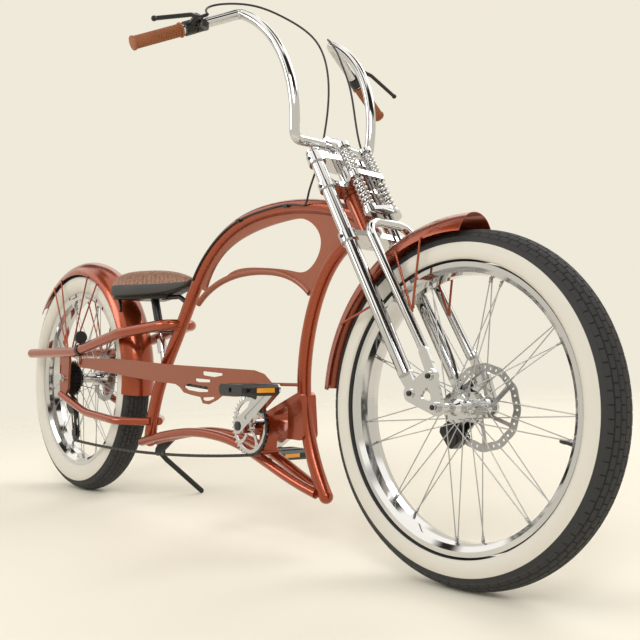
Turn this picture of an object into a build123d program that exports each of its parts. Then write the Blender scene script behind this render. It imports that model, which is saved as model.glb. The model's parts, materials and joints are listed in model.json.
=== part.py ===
from build123d import *
from math import asin, atan2, cos, degrees, hypot, pi, radians, sin, sqrt, tan
import os

os.makedirs("parts", exist_ok=True)

# Sizes in mm. Drawn upright with the wheels straight: the rear axle is the origin,
# x runs forward, y to the rider's left and z up.
wheelbase = 1682.0
rim_radius = 286.0
rim_half_width = 34.0
rear_tyre_height = 84.0
rear_tyre_half = 50.0
front_tyre_height = 67.0
front_tyre_half = 46.0
rear_tyre_radius = rim_radius + rear_tyre_height
front_tyre_radius = rim_radius + front_tyre_height
front_hub_rise = 2.6
axle_radius = 5.0
axle_end = 100.0
running_gap = 0.05

steer_angle = 58.0
steer_turn = 3.3
hub_down = 670.8
hub_ahead = 46.1
leg_side = 76.0
leg_radius = 15.0
leg_end_down = 615.4
loop_side = 70.0
loop_radius = 10.0
spring_ahead = 54.0
spring_side = 35.0

seat_foot_x = 430.0
seat_foot_rise = -172.0
top_tube_radius = 18.0
down_tube_radius = 17.0
lower_tube_radius = 12.5
upper_stay_radius = 16.0
upper_stay_side = 81.0
lower_stay_radius = 12.0
lower_stay_side = 82.0
dropout_inner = 76.0
dropout_outer = 84.0

crank_x = 1034.0
crank_rise = -79.0
crank_length = 170.0
crank_angle = 34.5
crank_inner = 80.0
crank_outer = 96.0
shell_half = 44.0
pedal_side = 162.0
pedal_half = 52.0

chain_side = 60.0
chain_pitch = 12.7
chain_sag = 18.0
chainring_teeth = 36
sprocket_teeth = 24
jockey_teeth = 12
upper_jockey = (28.0, -94.0)
lower_jockey = (46.0, -178.0)

rear_fender_gap = 20.0
rear_fender_half = 56.0
front_fender_gap = 35.0
front_fender_half = 54.0
fender_sheet = 2.0

stand_pivot = (412.0, 50.0, -208.0)
stand_foot = (418.0, 192.0, -339.0)
stand_radius = 8.0

bar_radius = 12.0
rotor_side = 59.5
rear_rotor_radius = 80.0
front_rotor_radius = 90.0

rear_hub = Vector(0, 0, 0)
front_hub = Vector(wheelbase, 0, front_hub_rise)
steer_down = Vector(cos(radians(steer_angle)), 0, -sin(radians(steer_angle)))
steer_ahead = Vector(sin(radians(steer_angle)), 0, cos(radians(steer_angle)))
steer_top = front_hub - steer_down * hub_down - steer_ahead * hub_ahead


def on_steer(down, ahead=0.0, side=0.0):
    # a place on the fork: down along the steering axis from its top, ahead of it, and to the side
    return steer_top + steer_down * down + steer_ahead * ahead + Vector(0, side, 0)


def on_frame(share, rise, side=0.0):
    # share of the way from the seat foot to the top of the steering axis, rise over the rear axle
    return Vector(seat_foot_x + share * (steer_top.X - seat_foot_x), side, rise)


def side_plane(side):
    return Plane(origin=(0, side, 0), x_dir=(1, 0, 0), z_dir=(0, -1, 0))


def fork_plane(side):
    return Plane(origin=on_steer(0, 0, side), x_dir=steer_down, z_dir=(0, -1, 0))


def cross_plane(down):
    return Plane(origin=on_steer(down), x_dir=steer_ahead, z_dir=steer_down)


def route(rows):
    # rows are x, y, z and, at a corner, its bend radius
    corners = [Vector(*row[:3]) for row in rows]
    edges = []
    start = corners[0]
    for here in range(1, len(rows) - 1):
        bend = rows[here][3]
        back = (corners[here - 1] - corners[here]).normalized()
        ahead = (corners[here + 1] - corners[here]).normalized()
        half = radians(back.get_angle(ahead) / 2)
        first = corners[here] + back * (bend / tan(half))
        last = corners[here] + ahead * (bend / tan(half))
        middle = corners[here] + (back + ahead).normalized() * (bend / sin(half) - bend)
        if (first - start).length > 0.01:
            edges.append(Line(start, first))
        edges.append(ThreePointArc(first, middle, last))
        start = last
    edges.append(Line(start, corners[-1]))
    return Wire(edges)


def along(path, radius):
    return sweep(Plane(origin=path @ 0, z_dir=path % 0) * Circle(radius), path=path)


def tube(rows, radius):
    return along(route(rows), radius)


def smooth_tube(points, radius):
    return along(Wire([Spline(*points)]), radius)


def corner(place, bend=None):
    row = (place.X, place.Y, place.Z)
    return row if bend is None else row + (bend,)


def rod(start, end, radius):
    start = Vector(*start)
    end = Vector(*end)
    base = Plane(origin=start, z_dir=end - start)
    return base * Cylinder(radius, (end - start).length, align=(Align.CENTER, Align.CENTER, Align.MIN))


def ball(centre, radius):
    return Pos(*centre) * Sphere(radius)


def disc(centre, radius, side_from, side_to):
    base = side_plane(side_to) * Pos(centre[0], centre[1])
    return extrude(base * Circle(radius), amount=side_to - side_from)


def web(circles, side_from, side_to, plane=side_plane):
    # a plate whose outline is a band round the circles: x, z and radius of each
    rounds = [Pos(x, z) * Circle(radius) for x, z, radius in circles]
    edges = [one.edges()[0] for one in rounds]
    return extrude(plane(side_to) * make_hull(edges), amount=side_to - side_from)


def plate(points, side_from, side_to, plane=side_plane):
    return extrude(plane(side_to) * make_face(Polyline(*points, close=True)), amount=side_to - side_from)


def turned(profile, centre):
    # profile rows are radius and side, turned about the wheel's axle
    return Pos(*centre) * revolve(make_face(Polyline(*profile, close=True)), Axis.Y)


def bar(start, end, height, width):
    start = Vector(*start)
    end = Vector(*end)
    base = Plane(origin=(start + end) * 0.5, x_dir=(end - start).normalized(), z_dir=(0, -1, 0))
    return base * Box((end - start).length, height, width)


def mirrored(shape):
    return mirror(shape, about=Plane.XZ)


def both(shape):
    return [shape, mirrored(shape)]


def main_solid(shape):
    return max(shape.solids(), key=lambda one: one.volume)


def round_at(centre, radius, angle):
    return (centre.X + radius * cos(radians(angle)), centre.Z + radius * sin(radians(angle)))


# Wheels


def tyre(centre, height, half):
    ring = rim_radius + height - half
    section = Pos(ring, 0) * Circle(half)
    section -= Pos(rim_radius / 2, 0) * Rectangle(rim_radius, 4 * half)
    return Pos(*centre) * revolve(section, Axis.Y)


def rim(centre):
    w = rim_half_width
    r = rim_radius
    profile = [
        (r, -w), (r, w), (r - 10, w), (r - 20, w - 8), (r - 24, 10),
        (r - 24, -10), (r - 20, 8 - w), (r - 10, -w),
    ]
    return turned(profile, centre)


flange_side = 31.0
flange_radius = 31.0
spoke_circle = 26.0
spoke_radius = 1.2
spokes_per_flange = 18


def spokes(centre):
    made = []
    step = 360 / spokes_per_flange
    end_r = rim_radius - 24.2
    for side in (-1, 1):
        for number in range(spokes_per_flange):
            lead = 1 if number % 2 else -1
            start_angle = radians(number * step + (step / 2 if side > 0 else 0))
            end_angle = start_angle + lead * radians(2.5 * step)
            hub_y = side * (flange_side + lead * (2.2 + spoke_radius))
            rim_y = side * (12 + lead * 2.5)
            start = (spoke_circle * cos(start_angle), hub_y, spoke_circle * sin(start_angle))
            end = (end_r * cos(end_angle), rim_y, end_r * sin(end_angle))
            made.append(Pos(*centre) * rod(start, end, spoke_radius))
    return made


def hub(centre, left_step, half_length):
    f = flange_side
    bore = axle_radius + running_gap
    profile = [
        (bore, -half_length), (10, -half_length), (10, -f - 10), (17, -f - 1.5), (flange_radius, -f - 1.5),
        (flange_radius, -f + 1.5), (16, -f + 1.5), (16, f - 1.5), (flange_radius, f - 1.5),
        (flange_radius, f + 1.5), (21, f + 1.5), (21, left_step), (10, left_step), (10, half_length),
        (bore, half_length),
    ]
    return turned(profile, centre)


def rotor(centre, radius):
    middle = (centre.X, centre.Z)
    thick = (rotor_side - 1, rotor_side + 1)
    ring = disc(middle, radius, *thick) - disc(middle, radius - 17, *thick)
    spider = disc(middle, 20, *thick)
    for number in range(6):
        inner = round_at(centre, 15, 60 * number)
        outer = round_at(centre, radius - 12, 60 * number + 35)
        spider += bar((inner[0], rotor_side, inner[1]), (outer[0], rotor_side, outer[1]), 9, 2)
    return spider + ring - disc(middle, 10, *thick)


def pitch_radius(teeth):
    return chain_pitch / (2 * sin(pi / teeth))


def gear(teeth, centre, side, thick, first_angle):
    # a toothed wheel: low between the teeth, high at each tooth's blunt tip
    r = pitch_radius(teeth)
    step = 360 / teeth
    points = []
    for number in range(teeth):
        for shift, radius in ((-0.30, r - 4.6), (-0.10, r + 3.2), (0.10, r + 3.2), (0.30, r - 4.6)):
            points.append(round_at(Vector(centre[0], 0, centre[1]), radius, first_angle + (number + shift) * step))
    return plate(points, side - thick / 2, side + thick / 2)


# Frame

head_top = 99.0
head_bottom = 221.0
head_radius = 22.0
web_half = 4.0


def head_solid():
    made = rod(on_steer(head_top), on_steer(head_bottom), head_radius)
    made += rod(on_steer(head_top), on_steer(head_top + 9), head_radius + 3)
    return made + rod(on_steer(head_bottom - 9), on_steer(head_bottom), head_radius + 3)


def head_tube():
    return head_solid() - rod(on_steer(head_top - 5), on_steer(head_bottom + 5), 14 + running_gap)


def top_tube_solid():
    # share of the reach, rise
    table = [(0.0, seat_foot_rise), (0.062, -4), (0.189, 160), (0.408, 387), (0.542, 440), (0.706, 461), (0.86, 457)]
    points = [on_frame(share, rise) for share, rise in table] + [on_steer(158)]
    return smooth_tube(points, top_tube_radius)


def top_tube():
    foot = on_frame(0.0, seat_foot_rise)
    return main_solid(top_tube_solid() + ball(foot, top_tube_radius) - head_solid())


def down_tube_solid():
    table = [(0.977, 312), (0.884, 157), (0.8655, 33), (0.885, -81), (0.969, -229)]
    points = [on_steer(200)] + [on_frame(share, rise) for share, rise in table]
    return smooth_tube(points, down_tube_radius)


def down_tube():
    made = down_tube_solid() + ball(on_frame(0.969, -229), down_tube_radius)
    return main_solid(made - head_solid() - top_tube_solid())


def arch_solid():
    table = [(0.30, 232), (0.36, 265), (0.484, 299), (0.661, 307), (0.80, 286), (0.885, 246)]
    return smooth_tube([on_frame(share, rise) for share, rise in table], 8.5)


def frame_web():
    outline = [
        (0.29, 285), (0.42, 392), (0.55, 438), (0.72, 458), (0.90, 448), (1.05, 410), (1.13, 372),
        (1.02, 322), (0.94, 262), (0.885, 240), (0.80, 286), (0.66, 307), (0.484, 299), (0.36, 262),
    ]
    eye = [
        (0.353, 282), (0.44, 362), (0.585, 408), (0.787, 429), (0.87, 422), (0.934, 366), (0.875, 300),
        (0.806, 302), (0.661, 317), (0.484, 309), (0.38, 276),
    ]
    made = plate([(on_frame(*row).X, row[1]) for row in outline], -web_half, web_half)
    hole = make_face(Spline(*[(on_frame(*row).X, row[1]) for row in eye], periodic=True))
    made -= extrude(side_plane(20) * hole, amount=40)
    made += arch_solid()
    return main_solid(made - top_tube_solid() - down_tube_solid() - head_solid())


def lower_tube_solid():
    # share, rise, side
    table = [
        (0.0, -174, -26), (0.171, -142, -28), (0.32, -124, -28), (0.457, -122, -28), (0.587, -134, -28),
        (0.707, -162, -26), (0.945, -224, -12),
    ]
    return smooth_tube([on_frame(*row) for row in table], lower_tube_radius)


def lower_tubes():
    made = lower_tube_solid() + ball(on_frame(0.0, -174, -26), lower_tube_radius)
    made -= top_tube_solid() + ball(on_frame(0.0, seat_foot_rise), top_tube_radius)
    made = main_solid(made - down_tube_solid())
    return both(made)


def bottom_bracket():
    x = crank_x
    z = crank_rise
    down_x = on_frame(0.872, 0).X
    carrier = web([(x, z, 25), (down_x, z + 74, 13), (down_x + 6, z - 10, 16)], -22, 22)
    carrier -= web([(x + 62, z + 22, 15), (x + 95, z + 42, 9), (x + 92, z + 4, 13)], -30, 30)
    carrier += disc((x, z), 25, -shell_half, shell_half)
    carrier += web([(x, z, 14), (x - 4, z - 62, 9)], -20, 20)
    carrier += rod((x - 4, -30, z - 68), (x - 4, 30, z - 68), 9)
    carrier -= down_tube_solid()
    for one in lower_tubes():
        carrier -= one
    return main_solid(carrier - disc((x, z), 8 + running_gap, -60, 60))


def upper_stay_solid():
    s = upper_stay_side
    front = on_frame(0.198, 174)
    half_rows = [(-285, s, 78), (66, s, 88, 300), (380, s, 150, 250), (front.X - 40, 48, 172, 60), (front.X, 38, 174, 36)]
    right = [(row[0], -row[1], *row[2:]) for row in half_rows]
    return tube(right + half_rows[::-1], upper_stay_radius)


def upper_stays():
    s = upper_stay_side
    made = upper_stay_solid() + ball((-285, -s, 78), upper_stay_radius) + ball((-285, s, 78), upper_stay_radius)
    return [one for one in (made - top_tube_solid()).solids() if one.volume > 10000]


def lower_stay_solid():
    s = lower_stay_side
    rows = [(-31, s, -54), (155, s, -102, 300), (358, s - 2, -115, 110), (455, 14, -113)]
    return tube(rows, lower_stay_radius) + ball((-31, s, -54), lower_stay_radius)


def lower_stays():
    return both(main_solid(lower_stay_solid() - top_tube_solid()))


def dropouts():
    one = web([(-24, 62, 20), (12, 62, 18), (-18, -50, 20), (4, -26, 20)], dropout_inner, dropout_outer)
    one -= web([(-34, 40, 4.5), (-38, 4, 4.5)], 60, 100)
    one -= disc((0, 0), axle_radius, 0, 200)
    one = main_solid(one - upper_stay_solid() - lower_stay_solid())
    return both(one)


def rear_axle():
    made = disc((0, 0), axle_radius, -axle_end, axle_end)
    return made + disc((0, 0), 10, dropout_outer, 92) + disc((0, 0), 10, -92, -dropout_outer)


def fender(centre, tyre_radius, gap, half, start, end):
    ring = tyre_radius + gap - half
    section = Pos(ring, 0) * (Circle(half) - Circle(half - fender_sheet))
    section -= Pos((ring + 11) / 2, 0) * Rectangle(ring + 11, 4 * half)
    shape = revolve(section, Axis.Y, revolution_arc=end - start)
    return Pos(*centre) * Rot(0, -end, 0) * shape


def fender_side(half):
    return sqrt(half ** 2 - 15 ** 2) + 3.3


def rear_fender():
    return fender(rear_hub, rear_tyre_radius, rear_fender_gap, rear_fender_half, -6, 141)


def rear_fender_stays():
    made = []
    edge = rear_tyre_radius + rear_fender_gap - rear_fender_half + 15
    for start_x, angle in [(-34, 118), (-26, 108), (-2, 74), (8, 62)]:
        x, z = round_at(rear_hub, edge, angle)
        made += both(rod((start_x, 62.4, 84), (x, fender_side(rear_fender_half), z), 2.5))
    return made


guard_inner = -67.5
guard_outer = -70.0


def chain_guard():
    outline = [
        (66, 46), (72, 60), (90, 67), (130, 70), (378, 71), (657, 62), (1063, 58), (1104, 50), (1132, 32),
        (1134, 16), (1118, 6), (1046, -6), (981, -11), (922, -12), (898, -24), (860, -37), (832, -36),
        (819, -20), (776, -17), (735, -12), (712, 2), (690, 9), (560, 13), (380, 22), (155, 36), (84, 38),
    ]
    face = make_face(Polyline(*outline, close=True))
    guard = extrude(side_plane(guard_inner) * face, amount=guard_inner - guard_outer)
    slots = [
        [(832, 45, 3.5), (920, 43, 3), (884, 38, 3), (834, 41, 3)],
        [(796, 25, 3.5), (862, 24, 3.5), (808, 22, 3)],
        [(742, 5, 4), (762, 9, 4), (852, 4, 5), (852, 0, 5), (812, -3, 4), (756, 0, 4)],
        [(834, -23, 2.5), (884, -19, 2.5), (862, -25, 2.5), (842, -26, 2.5)],
    ]
    for slot in slots:
        guard -= web(slot, guard_outer - 2, guard_inner + 2)
    guard += web([(85, 54, 8), (88, 86, 8)], -73, guard_outer) - upper_stay_solid()
    guard += disc((85, 54), 5, -75, -73)
    guard += rod((1112, guard_inner, 26), (1172, -8, 26), 4) - down_tube_solid()
    return main_solid(guard)


def chain_wheels():
    # x, z, radius and the way round of each wheel that the chain passes
    return [
        (crank_x, crank_rise, pitch_radius(chainring_teeth), 1),
        (0.0, 0.0, pitch_radius(sprocket_teeth), 1),
        (*upper_jockey, pitch_radius(jockey_teeth), -1),
        (*lower_jockey, pitch_radius(jockey_teeth), 1),
    ]


def tangents(wheels):
    # for each wheel, where the chain leaves it and where it meets the next
    made = []
    for here, (ax, az, ar, at) in enumerate(wheels):
        bx, bz, br, bt = wheels[(here + 1) % len(wheels)]
        gap = hypot(bx - ax, bz - az)
        normal = atan2(bz - az, bx - ax) - pi / 2 + asin((at * ar - bt * br) / gap)
        leave = (ax + at * ar * cos(normal), az + at * ar * sin(normal))
        meet = (bx + bt * br * cos(normal), bz + bt * br * sin(normal))
        made.append((leave, meet))
    return made


def chain_line():
    # points about 1 mm apart along the whole chain
    wheels = chain_wheels()
    ends = tangents(wheels)
    points = []
    for here, (ax, az, ar, at) in enumerate(wheels):
        arrive = ends[here - 1][1]
        leave, meet = ends[here]
        first = atan2(arrive[1] - az, arrive[0] - ax)
        last = atan2(leave[1] - az, leave[0] - ax)
        turn = (last - first) % (2 * pi)
        if at < 0:
            turn -= 2 * pi
        steps = max(2, int(abs(turn) * ar))
        for step in range(steps):
            angle = first + turn * step / steps
            points.append((ax + ar * cos(angle), az + ar * sin(angle)))
        steps = int(hypot(meet[0] - leave[0], meet[1] - leave[1]))
        sag = chain_sag if here == len(wheels) - 1 else 0.0
        for step in range(steps):
            part = step / steps
            drop = 4 * sag * part * (1 - part)
            points.append((leave[0] + (meet[0] - leave[0]) * part, leave[1] + (meet[1] - leave[1]) * part - drop))
    return points


def chain_pins():
    points = chain_line()
    reach = [0.0]
    for here, point in enumerate(points):
        after = points[(here + 1) % len(points)]
        reach.append(reach[-1] + hypot(after[0] - point[0], after[1] - point[1]))
    links = 2 * round(reach[-1] / chain_pitch / 2)
    pitch = reach[-1] / links
    pins = []
    spot = 0
    for number in range(links):
        while reach[spot + 1] < number * pitch:
            spot += 1
        part = (number * pitch - reach[spot]) / (reach[spot + 1] - reach[spot])
        a = points[spot]
        b = points[(spot + 1) % len(points)]
        pins.append((a[0] + (b[0] - a[0]) * part, a[1] + (b[1] - a[1]) * part))
    return pins


def chain():
    made = []
    pins = chain_pins()
    for number, a in enumerate(pins):
        b = pins[(number + 1) % len(pins)]
        offset = 1.9 if number % 2 else 2.9
        length = hypot(b[0] - a[0], b[1] - a[1])
        for side in (-chain_side - offset, -chain_side + offset):
            base = Plane(
                origin=((a[0] + b[0]) / 2, side, (a[1] + b[1]) / 2),
                x_dir=((b[0] - a[0]) / length, 0, (b[1] - a[1]) / length), z_dir=(0, -1, 0),
            )
            made.append(base * Box(length + 6.0, 7.5, 0.8))
    return made


def derailleur():
    ux, uz = upper_jockey
    lx, lz = lower_jockey
    inner = -chain_side + 5
    outer = -chain_side - 6
    cage = [(ux, uz, 11), (lx, lz, 11)]
    window = web([((3 * ux + lx) / 4, (3 * uz + lz) / 4, 5), ((ux + 3 * lx) / 4, (uz + 3 * lz) / 4, 5)], -90, -40)
    made = web(cage, inner, inner + 2) - window
    made += web(cage, outer - 2, outer) - window
    made += disc((ux, uz), 4, outer - 1, inner + 1) + disc((lx, lz), 4, outer - 1, inner + 1)
    made += disc((-16, -66), 8, -dropout_inner, -67)
    made += web([(-16, -66, 8), (2, -92, 12), (ux, uz, 9)], -70, outer - 1)
    made += web([(-10, -92, 10), (10, -104, 12)], -67, -50)
    made -= mirrored(lower_stay_solid())
    parts = [main_solid(made)]
    for x, z in (upper_jockey, lower_jockey):
        wheel = disc((x, z), 19.9, -chain_side - 3.3, 3.3 - chain_side)
        wheel += gear(jockey_teeth, (x, z), -chain_side, 1.8, 15)
        parts.append(wheel - disc((x, z), 4, -80, -40))
    return parts


def saddle_section(x, half, crown, hem):
    base = Plane(origin=(x, 0, hem), x_dir=(0, 1, 0), z_dir=(1, 0, 0))
    top = EllipticalCenterArc((0, 0), half, crown - hem, start_angle=0, arc_size=180)
    return base * make_face(top + Line(top @ 1, top @ 0))


# x, half width, crown and hem heights of the saddle
saddle_table = [
    (296, 60, 316, 286), (312, 84, 334, 268), (350, 98, 342, 262), (410, 92, 342, 262), (480, 62, 340, 264),
    (560, 34, 332, 270), (620, 25, 318, 282), (650, 17, 308, 292),
]


def saddle():
    return loft([saddle_section(*row) for row in saddle_table])


def saddle_frame():
    # the pan under the leather, its post and the nose bracket
    pan = extrude(Plane.XY.offset(252) * make_hull([
        (Pos(x, y) * Circle(r)).edges()[0] for x, y, r in [(345, -52, 34), (345, 52, 34), (500, 0, 26)]
    ]), amount=9.7)
    pan += rod((440, 0, 256), (474, 0, 166), 12.5)
    pan += rod((474, -64, 160), (474, 64, 160), 8)
    pan += tube([(490, 0, 256), (585, 0, 256, 30), (640, 0, 232)], 7)
    pan += mirrored(rod((330, -60, 256), (352, -66, 216), 5)) + rod((330, -60, 256), (352, -66, 216), 5)
    pan -= top_tube_solid() + upper_stay_solid()
    pan -= saddle()
    return main_solid(pan)


def seat_shock():
    made = rod((479, 0, 148), (505, 0, 58), 8)
    made += rod((484, 0, 132), (495, 0, 94), 14)
    made -= saddle_frame()
    return main_solid(made - top_tube_solid())


def stand_bracket():
    x, y, z = stand_pivot
    made = web([(x, z, 14), (x + 40, z + 40, 15), (x + 90, z + 52, 10)], 36, 43.5)
    made += disc((x, z), 7, 40, 60)
    for one in lower_tubes():
        made -= one
    return main_solid(made)


def side_stand():
    x, y, z = stand_pivot
    made = disc((x, z), 14, 44, 56)
    made += tube([(x, 50, z - 8), (x + 3, 66, z - 26, 16), stand_foot], stand_radius)
    made += ball(stand_foot, stand_radius)
    return made - disc((x, z), 7 + running_gap, 30, 70)


def sprocket_stack():
    # teeth and sideways step from the one that the chain is on
    made = None
    for teeth, step in [(28, 9.2), (26, 4.6), (sprocket_teeth, 0.0), (22, -4.6), (18, -9.2)]:
        side = step - chain_side
        one = gear(teeth, (0, 0), side, 1.8, 5) + disc((0, 0), 22, side - 1, side + 3.6)
        made = one if made is None else made + one
    return made - disc((0, 0), 10, -80, 0)


def chainring():
    centre = (crank_x, crank_rise)
    r = pitch_radius(chainring_teeth)
    low = -chain_side - 1.5
    high = 1.5 - chain_side
    start = chain_line()[0]
    first = degrees(atan2(start[1] - crank_rise, start[0] - crank_x)) + 180 / chainring_teeth
    ring = gear(chainring_teeth, centre, -chain_side, 2.0, first) + disc(centre, r - 4.6, low, high)
    ring -= disc(centre, r - 13, low - 1, high + 1)
    middle = Vector(crank_x, 0, crank_rise)
    for number in range(5):
        angle = crank_angle + 36 + 72 * number
        bend = [round_at(middle, radius, angle + turn) for radius, turn in [(14, 0), (38, 26), (r - 9, 8)]]
        points = [(x, -chain_side, z) for x, z in bend]
        path = ThreePointArc(*points)
        section = Plane(origin=path @ 0, x_dir=(0, 1, 0), z_dir=path % 0) * Rectangle(3, 9)
        ring += sweep(section, path=path)
    ring += disc(centre, 21, low, high)
    return ring - disc(centre, 8, -80, -40)


def crank_axle():
    return disc((crank_x, crank_rise), 8, -crank_outer + 2, crank_outer - 2)


def crank_tip(side):
    x, z = round_at(Vector(crank_x, 0, crank_rise), side * -crank_length, crank_angle)
    return (x, z)


def crank_arm(side):
    tip = crank_tip(side)
    centre = (crank_x, crank_rise)
    low, high = sorted((side * crank_inner, side * crank_outer))
    boss = sorted((side * (chain_side + 1.5) if side < 0 else 54.0, side * crank_outer))
    made = web([(*centre, 19), (*tip, 12)], low, high)
    made += disc(centre, 19, *boss)
    groove = web([(centre[0] + (tip[0] - centre[0]) * share, centre[1] + (tip[1] - centre[1]) * share, 5)
                  for share in (0.24, 0.80)], *sorted((side * (crank_outer - 2.5), side * (crank_outer + 5))))
    made -= groove
    made -= disc(centre, 8, -crank_outer + 2, crank_outer - 2)
    pin = sorted((side * (crank_outer - 4), side * (pedal_side + pedal_half - 8)))
    return made + disc(tip, 6, *pin)


def pedal(side):
    x, z = crank_tip(side)
    body = Pos(x, side * pedal_side, z) * Box(92, 2 * pedal_half, 26)
    body = chamfer(body.edges().filter_by(Axis.Y), 7)
    for x_step in (-26, 26):
        body -= Pos(x + x_step, side * pedal_side, z) * Box(22, 2 * pedal_half - 24, 40)
    for x_step in (-46, 46):
        body -= Pos(x + x_step, side * (pedal_side - 14), z) * Box(4, 52, 12)
        body -= rod((x + x_step - 12, side * (pedal_side + 34), z), (x + x_step + 12, side * (pedal_side + 34), z), 6)
    return main_solid(body - disc((x, z), 6 + running_gap, -260, 260))


def rear_reflector():
    s = -upper_stay_side
    made = rod((100, s, 136), (112, s, 136), 20)
    made += rod((106, s, 124), (106, s, 106), 4)
    made += rod((99, s, 93.9), (113, s, 96.3), upper_stay_radius + 3)
    return main_solid(made - upper_stay_solid())


# Steered pieces


def steerer():
    return rod(on_steer(2), on_steer(236), 14)


def fork_plates():
    made = []
    # down, thickness, how far the spring seat reaches ahead, radius at the middle
    for down, thick, ahead, middle in [(4, 14, 0, 24), (85, 13.5, 68, 21), (221.5, 15, 0, 24)]:
        circles = [(0, 0, middle), (0, leg_side, 19), (0, -leg_side, 19)]
        edges = [(Pos(x, y) * Circle(r)).edges()[0] for x, y, r in circles]
        one = extrude(cross_plane(down) * make_hull(edges), amount=thick)
        if ahead:
            circles = [(0, 0, middle), (spring_ahead, spring_side, 15), (spring_ahead, -spring_side, 15)]
            edges = [(Pos(x, y) * Circle(r)).edges()[0] for x, y, r in circles]
            one += extrude(cross_plane(down) * make_hull(edges), amount=thick)
            for side in (-spring_side, spring_side):
                one -= rod(on_steer(down - 5, spring_ahead, side), on_steer(down + 30, spring_ahead, side), 5)
        for side in (-leg_side, leg_side):
            one += rod(on_steer(down - 3.5, 0, side), on_steer(down + thick + (0 if ahead else 6), 0, side), 20)
        one -= rod(on_steer(-10), on_steer(250), 14)
        for side in (-leg_side, leg_side):
            one -= rod(on_steer(-60, 0, side), on_steer(260, 0, side), leg_radius)
        made.append(one)
    return made


def fork_legs():
    # stanchion with a domed cap, ending in the rocker's lug
    one = rod(on_steer(-8, 0, leg_side), on_steer(572, 0, leg_side), leg_radius)
    one += rod(on_steer(-12, 0, leg_side), on_steer(-8, 0, leg_side), 17)
    one += ball(on_steer(-8, 0, leg_side), 14)
    one += web([(572, 0, 15), (leg_end_down, 1.7, 11)], 71, 80, fork_plane)
    return both(one)


loop_lug = (609.8, 60.6)


def front_legs():
    s = loop_side
    half_rows = [(563.1, 61.5), (274.2, 55.7, 100), (222.0, 55.3, 44)]
    right = [corner(on_steer(row[0], row[1], -s), *row[2:]) for row in half_rows]
    left = [corner(on_steer(row[0], row[1], s), *row[2:]) for row in half_rows]
    made = tube(right + left[::-1], loop_radius)
    for side in (-1, 1):
        low, high = sorted((side * 72.0, side * 80.0))
        made += web([(*loop_lug, 12), (556, 64, 11)], low, high, fork_plane)
    return made


def rockers():
    # the leading link that carries the axle, pivoted on the leg and pushed by the front loop
    one = web([(leg_end_down, 1.7, 18), (*loop_lug, 15), (hub_down, hub_ahead, 17)], 80, 88, fork_plane)
    one -= web([(636, 28, 6), (632, 42, 6), (646, 38, 6)], 70, 90, fork_plane)
    for down, ahead in [(leg_end_down, 1.7), loop_lug]:
        one += disc_on_fork(down, ahead, 9, 88, 92)
    return both(one - disc_on_fork(hub_down, hub_ahead, axle_radius, 0, 200))


def disc_on_fork(down, ahead, radius, side_from, side_to):
    base = fork_plane(side_to) * Pos(down, ahead)
    return extrude(base * Circle(radius), amount=side_to - side_from)


def front_axle():
    centre = (front_hub.X, front_hub.Z)
    made = disc(centre, axle_radius, -98, 98)
    return made + disc(centre, 10, 88, 96) + disc(centre, 10, -96, -88)


def spring(down_from, down_to, side):
    length = down_to - down_from
    path = Helix(pitch=length / 6, height=length, radius=11.5)
    section = Plane(origin=path @ 0, z_dir=path % 0) * Circle(2.4)
    coil = sweep(section, path=path, is_frenet=True)
    return Plane(origin=on_steer(down_from, spring_ahead, side), z_dir=steer_down) * coil


def fork_springs():
    made = []
    for side in (-spring_side, spring_side):
        made.append(spring(17, 82, side))
        made.append(spring(102, 178, side))
    return made


def spring_rods():
    made = []
    for side in (-spring_side, spring_side):
        one = rod(on_steer(4, spring_ahead, side), on_steer(196, spring_ahead, side), 5)
        for low, high in [(4, 14), (181, 190)]:
            one += rod(on_steer(low, spring_ahead, side), on_steer(high, spring_ahead, side), 15)
        made.append(one)
    return made


def spring_bridge():
    circles = [(spring_ahead, -spring_side, 17), (spring_ahead, spring_side, 17), (spring_ahead + 12, 0, 16)]
    edges = [(Pos(x, y) * Circle(r)).edges()[0] for x, y, r in circles]
    made = extrude(cross_plane(190) * make_hull(edges), amount=10)
    made -= front_legs()
    for one in spring_rods():
        made -= one
    return main_solid(made)


def front_fender():
    return fender(front_hub, front_tyre_radius, front_fender_gap, front_fender_half, 88, 177)


def front_fender_stays():
    made = []
    edge = front_tyre_radius + front_fender_gap - front_fender_half + 15
    side = fender_side(front_fender_half)
    for down, ahead, start_side, angle in [(460.7, 61.8, 57.0, 104), (460.7, 61.8, 57.0, 116), (389.9, -11.9, 58.4, 152)]:
        x, z = round_at(front_hub, edge, angle)
        made += both(rod(on_steer(down, ahead, start_side), (x, side, z), 2.5))
    return made


# down, ahead, side and bend of the left half of the handlebar
bar_table = [
    (-37.9, 5.4, 0), (-42.1, -1.3, 118, 20), (-225.6, 123.9, 131, 300), (-418.8, 14.7, 145, 16), (-346.5, -103.6, 396),
]
bar_end = on_steer(*bar_table[-1])
bar_back = (on_steer(*bar_table[-2][:3]) - bar_end).normalized()
lever_ahead = Vector(0.872, 0, 0.49)


def handlebar():
    left = tube([corner(on_steer(*row[:3]), *row[3:]) for row in bar_table], bar_radius)
    return left + mirrored(left)


def stem():
    made = rod(on_steer(-37.9, 5.4, -28), on_steer(-37.9, 5.4, 28), 20)
    made += rod(on_steer(-38), on_steer(3.8), 16)
    return main_solid(made - handlebar() - steerer())


def on_grip(inboard, ahead=0.0):
    # inboard from the bar's end, ahead towards the lever
    return bar_end + bar_back * inboard + lever_ahead * ahead


def grips():
    one = rod(on_grip(-4), on_grip(122), 15)
    one += rod(on_grip(-4), on_grip(2), 17) + rod(on_grip(118), on_grip(124), 18)
    one -= rod(on_grip(0), on_grip(200), bar_radius)
    return both(one)


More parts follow.
